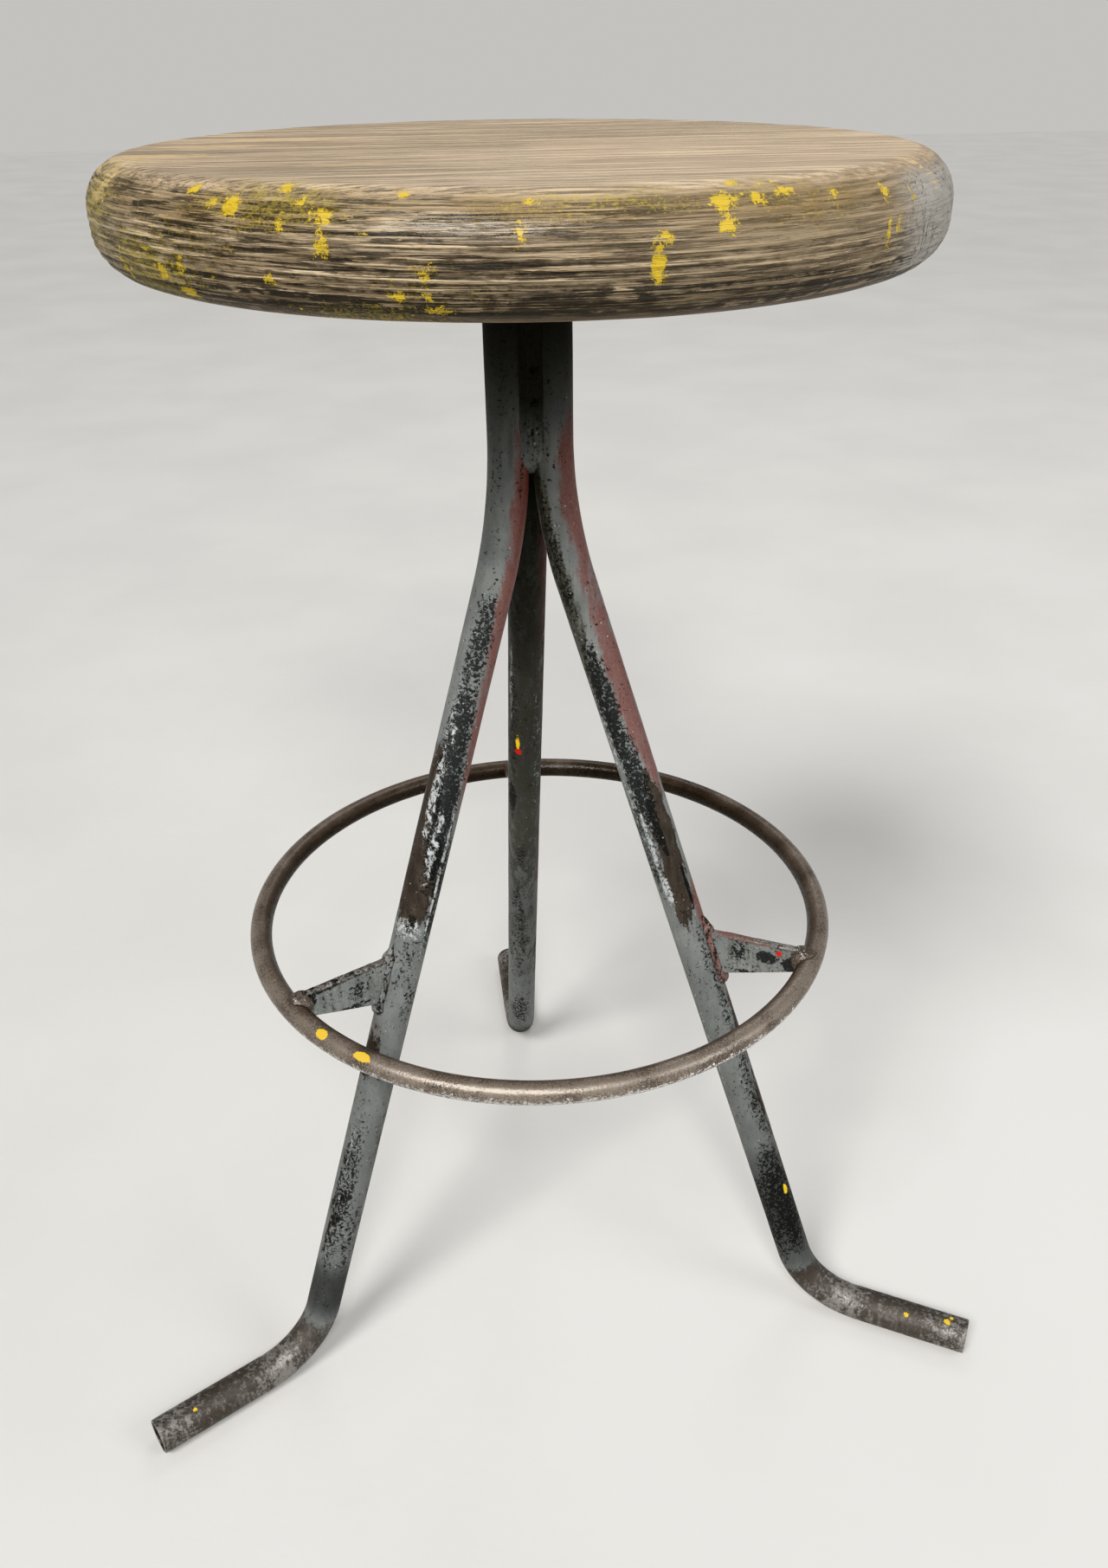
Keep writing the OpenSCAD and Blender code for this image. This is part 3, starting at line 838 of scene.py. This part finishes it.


# Soft patches of wear on the legs, and patches of painted shade where the seat shadows the top of
# the bundle and the rear leg, with darker bands near the feet: the angle round the tube (0 faces
# outward, 90 is towards the next azimuth) and height of the middle, half the width and height, strength
LEG_MARKS = {
    "front_left": {
        "red": ((112, 500, 52, 44, 0.95), (116, 440, 48, 62, 0.90), (124, 390, 34, 44, 0.80),
                (4, 212, 36, 16, 0.55), (215, 320, 30, 60, 0.6)),
        "chip": ((52, 425, 42, 34, 0.56), (50, 380, 46, 42, 0.70), (70, 342, 44, 42, 0.74),
                 (112, 300, 32, 34, 0.66), (60, 262, 60, 24, 0.34), (100, 240, 40, 16, 0.40),
                 (30, 120, 44, 56, 0.56), (90, 90, 50, 30, 0.40), (92, 505, 10, 12, 0.5),
                 (44, 283, 14, 8, 0.7), (230, 380, 60, 90, 0.42), (210, 180, 60, 60, 0.36)),
        "white": ((22, 352, 17, 28, 0.55), (58, 326, 16, 22, 0.52), (98, 312, 7, 46, 0.62),
                  (30, 281, 60, 6, 0.58), (28, 376, 22, 30, 0.40), (20, 140, 10, 40, 0.34),
                  (240, 300, 12, 50, 0.4)),
        "rust": ((0, 340, 50, 40, 1.0), (28, 306, 74, 30, 1.0), (4, 206, 48, 18, 0.72),
                 (14, 110, 26, 50, 0.55), (240, 250, 40, 40, 0.5), (190, 120, 30, 60, 0.5)),
        "stain": ((150, 430, 16, 70, 0.5), (130, 150, 24, 60, 0.4)),
        # painted shade: the seat's shadow over the top of the leg, and a darker band near the foot
        "painted_shade": ((60, 618, 400, 96, 1.05), (60, 540, 14, 34, 0.6), (60, 55, 400, 21, 0.80)),
    },
    "front_right": {
        "red": ((-14, 496, 46, 46, 0.95), (-26, 440, 40, 40, 0.62), (-20, 400, 44, 40, 0.95),
                (-10, 365, 30, 26, 0.8), (4, 275, 30, 20, 1.0), (16, 212, 22, 16, 0.8),
                (150, 330, 24, 80, 0.6)),
        "chip": ((-112, 462, 36, 40, 0.50), (-94, 396, 44, 38, 0.68), (-78, 352, 40, 40, 0.70),
                 (-112, 318, 40, 34, 0.56), (-24, 292, 7, 14, 1.1), (-34, 252, 26, 20, 0.42),
                 (-56, 320, 10, 14, 0.8), (-28, 216, 24, 26, 0.46), (-26, 160, 36, 50, 0.46),
                 (-46, 84, 70, 46, 0.66), (-112, 72, 60, 36, 0.58),
                 (110, 300, 60, 90, 0.42), (150, 140, 60, 60, 0.36)),
        "white": ((-128, 378, 18, 22, 0.42), (-112, 345, 20, 30, 0.38), (-98, 318, 11, 34, 0.62),
                  (-92, 292, 16, 12, 0.62), (-120, 180, 8, 60, 0.34), (120, 280, 12, 50, 0.4)),
        "rust": ((-40, 318, 40, 42, 1.0), (-60, 290, 32, 24, 0.95), (6, 205, 22, 20, 0.7),
                 (4, 150, 18, 34, 0.65), (160, 250, 40, 50, 0.5)),
        "stain": ((-116, 450, 40, 56, 0.95), (-10, 140, 30, 60, 0.5)),
        # painted shade: the seat's shadow over the top of the leg, and a darker band near the foot
        "painted_shade": ((-66, 618, 400, 96, 1.05), (-124, 545, 22, 60, 0.8), (-60, 74, 400, 50, 0.78)),
    },
    "rear": {
        "red": ((-126, 446, 34, 60, 0.80), (-118, 360, 24, 40, 0.55), (-110, 232, 20, 34, 0.85),
                (0, 300, 30, 60, 0.6)),
        "chip": ((128, 350, 24, 60, 0.42), (124, 285, 24, 16, 0.75), (150, 150, 60, 80, 0.36),
                 (165, 235, 22, 12, 0.5), (150, 190, 20, 14, 0.5), (170, 60, 60, 26, 0.5),
                 (-30, 360, 70, 90, 0.42), (20, 160, 60, 60, 0.4)),
        "white": ((118, 378, 9, 36, 0.55), (-20, 300, 12, 60, 0.4), (-140, 330, 30, 60, 0.26)),
        "rust": ((-110, 400, 24, 40, 0.55), (-110, 120, 26, 40, 0.6), (40, 260, 40, 50, 0.5)),
        "stain": ((180, 330, 110, 150, 0.85), (180, 150, 90, 60, 0.45)),
        # painted shade: the seat's shadow down the rear leg, and a darker patch at its foot
        "painted_shade": ((180, 612, 400, 100, 1.0), (170, 450, 110, 90, 0.85), (180, 340, 120, 90, 0.60),
                 (180, 200, 120, 130, 0.50), (180, 18, 90, 20, 0.7)),
    },
}
# Chips and scrapes that are everywhere, and darkening that sets in below a height
BASE_CHIP = 0.20
BASE_WHITE = 0.06
LOW_DARKENING = 0.24
LOW_DARKENING_Z = 270
# Paint spots on the legs: angle round the tube, height, width and height of the spot
LEG_SPOTS = {
    "front_left": {"splash": ((8, 262, 2.4, 4.0),), "dab": ()},
    "front_right": {"splash": ((-20, 90, 3.4, 6.0),), "dab": ()},
    "rear": {"splash": ((148, 334, 2.6, 9.0),), "dab": ((150, 327, 5.0, 4.0),)},
}
# Yellow flecks along the feet: angle round the tube, distance out, width, length
FOOT_FLECKS = {
    "front_left": ((20, 252, 2.2, 2.2),),
    "front_right": ((-30, 238, 3.0, 3.0), (-10, 262, 4.0, 4.0), (10, 264, 2.6, 2.6)),
    "rear": (),
}
# A foot lies beyond this distance out and below this height. It is bare below a height, and has
# brighter iron with painted highlights at some distances out: place, half length, strength
FOOT_OUT, FOOT_TOP = 205, 24
BARE_Z = 34
FOOT_HIGHLIGHT = ((200, 15, 0.40), (264, 16, 0.30))


def leg_fields(leg, out, z, theta):
    """Values that the paint material reads, from the distance out, height and angle."""
    def off(at):
        return turn(theta - at)

    def across(at):
        return off(at) * math.radians(1) * TUBE_R

    fields = {key: patches(off, z, marks, 2) for key, marks in LEG_MARKS[leg].items()}
    fields["chip"] = np.maximum(fields["chip"], BASE_CHIP)
    fields["white"] = np.maximum(fields["white"], BASE_WHITE)
    fields["painted_shade"] = np.maximum(fields["painted_shade"], LOW_DARKENING * ease(LOW_DARKENING_Z - z, 0, 70))
    heel = ease(BARE_Z - z, -8, 16)
    # brighter bare iron on the heel, with painted highlights along the foot
    bright_wear_and_highlight = 0.18 + sum(polish_and_highlight * np.exp(-((out - x0) / long) ** 2) for x0, long, polish_and_highlight in FOOT_HIGHLIGHT)
    fields["bare"] = 1.15 * heel
    fields["bright_wear_and_highlight"] = heel * bright_wear_and_highlight
    for key, spots in LEG_SPOTS[leg].items():
        fields[key] = np.where(out < FOOT_OUT, nearest(across, lambda high: z - high, spots), FAR)
    flecks = nearest(across, lambda x0: out - x0, FOOT_FLECKS[leg])
    fields["splash"] = np.minimum(fields["splash"], np.where(z < FOOT_TOP, flecks, FAR))
    return fields


def place_leg(points, azimuth):
    """Turn a leg from its own plane to its azimuth about the seat's axis."""
    a = math.radians(azimuth)
    x = points[:, 0] * math.cos(a) - points[:, 1] * math.sin(a)
    y = points[:, 0] * math.sin(a) + points[:, 1] * math.cos(a)
    return np.stack([x + AXIS[0], y + AXIS[1], points[:, 2]], 1)


def tube_rows(line, radius):
    """Rings of points round a centreline, with their middles and angles round the tube."""
    theta = np.linspace(0, 2 * math.pi, LEG_SIDES, endpoint=False)
    x, z, tilt = [np.repeat(line[:, k], LEG_SIDES) for k in range(3)]
    t = np.tile(theta, len(line))
    r = radius(x, z, tilt, t)
    points = np.stack([x + r * np.cos(t) * np.cos(tilt), r * np.sin(t),
                       z + r * np.cos(t) * np.sin(tilt)], 1)
    return points, x, z, np.degrees(t)


def build_leg(leg):
    azimuth = seed = LEG_AZ[leg]
    outer = leg_line(OUTER_STEP)
    inner = leg_line(INNER_STEP)[::-1]
    tube_end = outer[-1:].copy()
    outer[-1, 0] -= LIP_CHAMFER
    inner[0, 0] -= 0.5
    bore_r = TUBE_R - TUBE_WALL

    def outer_radius(x, z, tilt, t):
        spot = np.stack([x, 12 * np.cos(t), z + 12 * np.sin(t)], 1)
        worn = 0.10 * (1 + noise(spot, 24, seed)) + 0.04 * (1 + noise(spot, 5, seed + 3))
        middle, reach, flat = KNEE_OVAL
        oval = flat * np.exp(-((tilt - middle) / reach) ** 2) * np.cos(t) ** 2
        return TUBE_R - worn * (tilt < 1.55) - 0.03 - oval

    walls = (
        (outer, outer_radius),
        (tube_end, lambda *_: TUBE_R - LIP_CHAMFER - 0.05),
        (tube_end, lambda *_: bore_r + 0.3),
        (inner, lambda *_: bore_r),
    )
    points, out, high, around = map(np.concatenate, zip(*[tube_rows(*wall) for wall in walls]))
    fields = leg_fields(leg, out, high, around)
    row = np.arange(len(points)) // LEG_SIDES
    inside = row >= len(outer) + 2
    lip = (row >= len(outer)) & ~inside
    # the bore is darkened with painted shade
    fields["painted_shade"] = np.where(inside, 0.75, fields["painted_shade"])
    fields["bare"] = np.where(inside, 1.2, fields["bare"])
    fields["bright_wear_and_highlight"] = np.where(lip, 0.75, fields["bright_wear_and_highlight"])
    faces = band_faces(row[-1] + 1, LEG_SIDES, wrap_rows=True)[:, ::-1]
    return add_mesh("tube_leg_" + leg, place_leg(points, azimuth), faces,
                    "leg_" + leg, "grey_paint", fields, sharp=50)


# ---- foot ring ----

# Yellow spots on the ring: azimuth, angle over the bar (90 is its top), length, width
RING_SPOTS = ((221, 62, 7.5, 5.4), (231, 58, 10.0, 4.8))


RING_STEPS, RING_SIDES = 720, 48


def build_ring():
    steps, sides = RING_STEPS, RING_SIDES
    a = np.repeat(np.linspace(0, 2 * math.pi, steps, endpoint=False), sides)
    t = np.tile(np.linspace(0, 2 * math.pi, sides, endpoint=False), steps)
    spot = np.stack([RING_R * np.cos(a), RING_R * np.sin(a), 8 * np.sin(t)], 1)
    r = BAR_R - 0.04 - 0.08 * (1 + noise(spot, 20, 7)) - 0.03 * (1 + noise(spot, 4, 9))
    far = RING_R - 0.25 * (1 + noise(spot * [1, 1, 0], 120, 15, 1)) + r * np.cos(t)
    points = np.stack([far * np.cos(a) + AXIS[0], far * np.sin(a) + AXIS[1],
                       RING_Z + r * np.sin(t)], 1)
    azimuth, tilt = np.degrees(a), np.degrees(t)
    outward = np.exp(-(turn(tilt + 28) / 34) ** 2)
    inward = np.exp(-(turn(tilt - 185) / 62) ** 2)
    crown = np.exp(-(turn(tilt - 55) / 40) ** 2)
    # more rubbed paint and bare steel on the front, which faces the lights: painted light over real wear
    front = 0.5 + 0.5 * np.cos(np.radians(azimuth - 262))
    fields = {
        "bright_wear_and_highlight": 0.20 * outward + 0.40 * front * outward + 0.10 * inward + 0.04,
        "rub_and_lit_front": 0.22 + 0.46 * crown * (0.25 + 0.75 * front) + 0.15 * outward * front,
        "chip": 0.12 + 0.22 * np.exp(-(turn(tilt + 60) / 30) ** 2) + 0.30 * inward,
        # painted shade on the inner side and underside of the bar, with grime
        "grime_and_shade": 0.72 * inward + 0.45 * np.exp(-(turn(tilt + 90) / 40) ** 2),
        "splash": nearest(lambda at: np.radians(turn(azimuth - at)) * (RING_R + BAR_R),
                          lambda over: np.radians(turn(tilt - over)) * BAR_R, RING_SPOTS),
    }
    faces = band_faces(steps, sides, wrap_rows=True)
    return add_mesh("round_foot_ring", points, faces, "foot_ring", "taupe_paint", fields)


# ---- gussets, welds, plate and screws ----

# Marks on the gusset plates: distance out and height of the middle, then half sizes and
# strength of a soft patch, or the sizes of the red dab
GUSSET_MARKS = {
    "front_left": {"chip": ((148, 262, 5, 6, 0.9), (138, 266, 22, 2.6, 0.75),
                            (120, 255, 8, 8, 0.5), (130, 246, 20, 2.2, 0.7)),
                   "red": (), "dab": ()},
    "front_right": {"chip": ((146, 256, 5.5, 5, 0.95), (133, 258, 6.5, 4.5, 0.9),
                             (117, 258, 5, 8, 0.6), (130, 245, 22, 1.8, 0.75)),
                    "red": ((112, 268, 14, 4, 1.0), (122, 266, 16, 1.8, 0.9)),
                    "dab": ((139, 262, 3.2, 3.2),)},
    "rear": {"chip": ((146, 256, 6, 6, 0.8), (122, 256, 8, 8, 0.5), (130, 245, 22, 2, 0.7)),
             "red": ((114, 266, 10, 3, 0.8),), "dab": ()},
}
# A gusset's top edge: its height over the ring's middle, where that is, and its slope
GUSSET_RISE, GUSSET_NEAR, GUSSET_SLOPE = 6.5, 110, 0.03


def even_fields(points, chip, rust, red=0.0, painted_shade=0.0):
    """The same paint, wear, painted shade and highlight all over a bead or a small plate."""
    values = {
        "chip": chip, "rust": rust, "red": red, "white": 0.14, "bare": 0, "bright_wear_and_highlight": 0.3, "painted_shade": painted_shade,
        "rub_and_lit_front": 0.20, "grime_and_shade": 0.10, "splash": FAR, "dab": FAR, "stain": 0.35,
    }
    return {key: np.full(len(points), float(value)) for key, value in values.items()}


def gusset_fields(leg, points):
    a = math.radians(LEG_AZ[leg])
    out = (points[:, 0] - AXIS[0]) * math.cos(a) + (points[:, 1] - AXIS[1]) * math.sin(a)
    z = points[:, 2]
    top_line = RING_Z + GUSSET_RISE + GUSSET_SLOPE * (out - GUSSET_NEAR)
    edge = np.exp(-((z - top_line) / 1.6) ** 2)

    def along(x0):
        return out - x0

    marks = GUSSET_MARKS[leg]
    red = patches(along, z, marks["red"], 2) + 0 * z
    chip = np.maximum(patches(along, z, marks["chip"], 2), BASE_CHIP + 0.04)
    fields = even_fields(points, 0, 0)
    fields.update({
        "chip": chip, "red": red, "rust": 0.75 * edge * (red < 0.3), "white": 0.12 + 0 * z,
        "bare": 0.55 * edge, "bright_wear_and_highlight": 0.5 * edge, "stain": 0.3 + 0 * z,
        "dab": nearest(along, lambda high: z - high, marks["dab"]) + 0 * z,
    })
    return fields


# A seam's half width, how far its edges stand out from the line between the middles of its
# two tubes, and how deep it is hollowed
SEAM_HALF, SEAM_FLUSH, SEAM_SAG = 5.2, 8.72, 0.9
SEAM_ROWS, SEAM_COLS = 220, 41
# The back of a seam, between the tubes: half width and distance out
SEAM_BACK, SEAM_BACK_OUT = 3, 3.5
BEAD_HEIGHT, BEAD_WIDTH = 0.75, 0.70
PIT_Z = 535


def build_seam(side):
    """The weld run that fills the groove between two tubes, flush and a little hollow."""
    low, high = (corner[2] for corner in node_box("seam_" + side))
    face = np.linspace(-SEAM_HALF, SEAM_HALF, SEAM_COLS)
    across = np.concatenate([[face[0] - 0.5], face, [face[-1] + 0.5, SEAM_BACK, -SEAM_BACK]])
    cols = len(across)
    z = np.repeat(np.linspace(low + 0.3, high, SEAM_ROWS), cols)
    u = np.tile(across, SEAM_ROWS)
    spot = np.stack([u, 0 * u, z], 1)
    rise = SEAM_FLUSH - SEAM_SAG * (1 - np.clip(u / SEAM_HALF, -1, 1) ** 2)
    bead = -3.1 + 0.5 * noise(spot * [0, 0, 1], 16, 3)
    bead = np.exp(-((u - bead) / BEAD_WIDTH) ** 2)
    rise += BEAD_HEIGHT * bead * (0.7 + 0.3 * noise(spot, 7, 8))
    rise += 0.22 * noise(spot, 6, 4) + 0.08 * noise(spot, 1.8, 6)
    pit = ease(noise(spot, 4.5, 17), 0.25, 0.55) * np.exp(-((u - 0.8) / 1.8) ** 2)
    pit *= np.exp(-((z - PIT_Z) / 22) ** 2)
    rise -= 0.9 * pit
    rise -= 4.6 * (1 - np.clip((z - low) / 12, 0, 1)) ** 2
    column = np.tile(np.arange(cols), SEAM_ROWS)
    rise[(column == 0) | (column == cols - 3)] -= 0.9
    rise[column >= cols - 2] = SEAM_BACK_OUT
    a = math.radians(SEAM_AZ[side])
    out = rise + BUNDLE_R / 2
    points = np.stack([AXIS[0] + out * math.cos(a) - u * math.sin(a),
                       AXIS[1] + out * math.sin(a) + u * math.cos(a), z], 1)
    faces = [tuple(q) for q in band_faces(SEAM_ROWS, cols)]
    faces.append(tuple(range(cols)))
    faces.append(tuple(range(SEAM_ROWS * cols - 1, (SEAM_ROWS - 1) * cols - 1, -1)))
    fields = even_fields(points, 0.22, 0)
    fields["chip"] += 0.65 * pit
    # painted shade from the seat, darkest towards the top of the seam
    fields["painted_shade"] = np.clip(0.30 + ease(z, 505, 560), 0, 1)
    add_mesh("bundle_seam_" + side, points, faces, "seam_" + side, "grey_paint", fields)


def build_small_parts():
    for leg in LEG_AZ:
        side = leg.replace("front_", "")
        red = 0.8 if leg == "front_right" else 0.25
        cast("gusset_plate_" + leg, "gusset_" + leg, "grey_paint", 0.4, 2, ((9, 0.16), (2.5, 0.05)),
             lambda points: gusset_fields(leg, points))
        cast("gusset_weld_" + leg, "leg_weld_" + side, "grey_paint", 0.4, 3, ((5, 0.6), (2, 0.16)),
             lambda points: even_fields(points, 0.40, 0.35, red))
        cast("ring_weld_bead_" + leg, "ring_weld_" + side, "taupe_paint", 0.4, 3,
             ((6, 0.5), (2.4, 0.12)), lambda points: even_fields(points, 0.30, 0.5))
    for side in SEAM_AZ:
        build_seam(side)
    for leg in LEG_AZ:
        # the plate's weld beads carry painted shade from the seat above them
        cast("plate_weld_bead_" + leg, "plate_weld_" + leg.replace("front_", ""), "grey_paint", 0.35,
             3, ((4, 0.55), (1.8, 0.2)), lambda points: even_fields(points, 0.30, 0.3, 0, 0.6))
    cast("round_head_screws", "seat_screws", "screw_steel", 0.3, 1, (), lambda points: {})
    # the mounting plate carries painted shade from the seat above it
    cast("seat_mounting_plate", "mounting_plate", "grey_paint", 0.6, 2, ((30, 0.08), (4, 0.04)),
         lambda points: even_fields(points, 0.28, 0.25, 0.1, 0.55))


# ---- stage, light and camera, in metres ----

FLOOR_HALF = 9.0


def build_stage():
    half = FLOOR_HALF
    mesh = bpy.data.meshes.new("floor")
    corners = [(-half, -half, 0), (half, -half, 0), (half, half, 0), (-half, half, 0)]
    mesh.from_pydata(corners, [], [(0, 1, 2, 3)])
    floor = bpy.data.objects.new("floor", mesh)
    bpy.context.scene.collection.objects.link(floor)
    mesh.materials.append(floor_material())


def add_light(name, kind, place, power, colour):
    """A light that is turned towards the middle of the stool."""
    data = bpy.data.lights.new(name, kind)
    data.energy = power
    data.color = colour
    light = bpy.data.objects.new(name, data)
    light.location = place
    way = Vector(LIGHT_AIM) - Vector(place)
    light.rotation_euler = way.to_track_quat("-Z", "Y").to_euler()
    bpy.context.scene.collection.objects.link(light)
    return data


# The key light is a soft sun; the others are disks: name, place, diameter, power, colour
LIGHT_AIM = (0, 0, 0.4)
KEY_PLACE = (-1.3, -1.6, 2.7)
KEY_POWER = 2.5
KEY_SPREAD = math.radians(20)
KEY_COLOUR = (1.0, 0.985, 0.96)
DISKS = (
    ("front", (-0.15, -2.0, 2.05), 0.5, 30, (1.0, 0.99, 0.97)),
    ("fill", (2.0, -1.4, 1.7), 1.4, 22, (0.97, 0.985, 1.0)),
    ("back", (0.6, 1.8, 2.6), 1.2, 10, (1.0, 0.99, 0.97)),
)
# The room lights the stool with one colour and strength, and is seen with another
ROOM_LIGHT = ((0.94, 0.945, 0.95, 1), 0.38)
ROOM_SEEN = ((0.945, 0.935, 0.91, 1), 0.62)


def build_lights():
    add_light("key", "SUN", KEY_PLACE, KEY_POWER, KEY_COLOUR).angle = KEY_SPREAD
    for name, place, size, power, colour in DISKS:
        disk = add_light(name, "AREA", place, power, colour)
        disk.shape = "DISK"
        disk.size = size
    world = bpy.data.worlds.new("soft_room")
    world.use_nodes = True
    nodes, links = world.node_tree.nodes, world.node_tree.links
    lit, seen = nodes["Background"], nodes.new("ShaderNodeBackground")
    for background, (colour, strength) in ((lit, ROOM_LIGHT), (seen, ROOM_SEEN)):
        background.inputs["Color"].default_value = colour
        background.inputs["Strength"].default_value = strength
    ray = nodes.new("ShaderNodeLightPath")
    both = nodes.new("ShaderNodeMixShader")
    links.new(ray.outputs["Is Camera Ray"], both.inputs[0])
    links.new(lit.outputs[0], both.inputs[1])
    links.new(seen.outputs[0], both.inputs[2])
    links.new(both.outputs[0], nodes["World Output"].inputs[0])
    bpy.context.scene.world = world


# Camera: its place in mm from the seat's axis at floor level, and the way it looks
CAMERA_PLACE = (-60.5, -600.5, 682.9)
CAMERA_YAW = math.radians(7.3)
CAMERA_PITCH = math.radians(32.24)
CAMERA_ROLL = math.radians(-0.58)
CAMERA_LENS = 29.72
CAMERA_SHIFT = (-0.0091, 0.0333)


def build_camera():
    data = bpy.data.cameras.new("camera")
    data.lens = CAMERA_LENS
    data.sensor_width = 36
    data.shift_x, data.shift_y = CAMERA_SHIFT
    data.clip_start = 0.01
    turned = (Matrix.Rotation(-CAMERA_YAW, 4, "Z")
              @ Matrix.Rotation(math.pi / 2 - CAMERA_PITCH, 4, "X")
              @ Matrix.Rotation(CAMERA_ROLL, 4, "Z"))
    place = Vector(CAMERA_PLACE) + Vector((AXIS[0], AXIS[1], 0))
    camera = bpy.data.objects.new("camera", data)
    camera.matrix_world = Matrix.Translation(place * MM) @ turned
    bpy.context.scene.collection.objects.link(camera)
    bpy.context.scene.camera = camera


build_camera()
build_seat()
for leg_name in LEG_AZ:
    build_leg(leg_name)
build_ring()
build_small_parts()
build_stage()
build_lights()
bpy.context.scene.view_settings.view_transform = "Khronos PBR Neutral"
